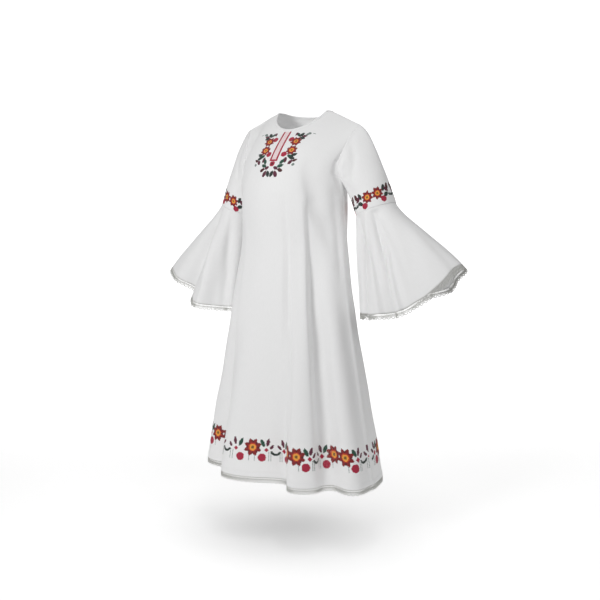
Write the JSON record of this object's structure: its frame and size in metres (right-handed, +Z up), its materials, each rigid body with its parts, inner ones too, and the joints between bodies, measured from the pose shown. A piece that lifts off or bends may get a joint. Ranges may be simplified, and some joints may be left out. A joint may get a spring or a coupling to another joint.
{
  "type": "long folk shirt",
  "caption": "White A-line folk shirt, filled out as if worn: plain round neck, fitted sleeves with wide bell flounces, scalloped lace at cuffs and hem.",
  "frame": {"origin": "middle of the neck opening, level with the neck ends of the two shoulder seams", "axes": "+Z up, the shirt's front faces -Y, +X towards the wearer's left sleeve"},
  "size_m": [1.0176, 0.3617, 1.0798],
  "materials": {
    "cloth": "white plain-woven cotton and linen, matt",
    "binding": "narrow band of the same white cloth",
    "lace": "white cotton lace edging, matt"
  },
  "bodies": {
    "root": {"front": "cloth", "back": "cloth", "neck_binding": "binding", "sleeve_left": "cloth", "sleeve_right": "cloth", "flounce_left": "cloth", "flounce_right": "cloth", "lace_hem_front": "lace", "lace_hem_back": "lace", "lace_cuff_left_front": "lace", "lace_cuff_left_back": "lace", "lace_cuff_right_front": "lace", "lace_cuff_right_back": "lace"}
  },
  "joints": []
}
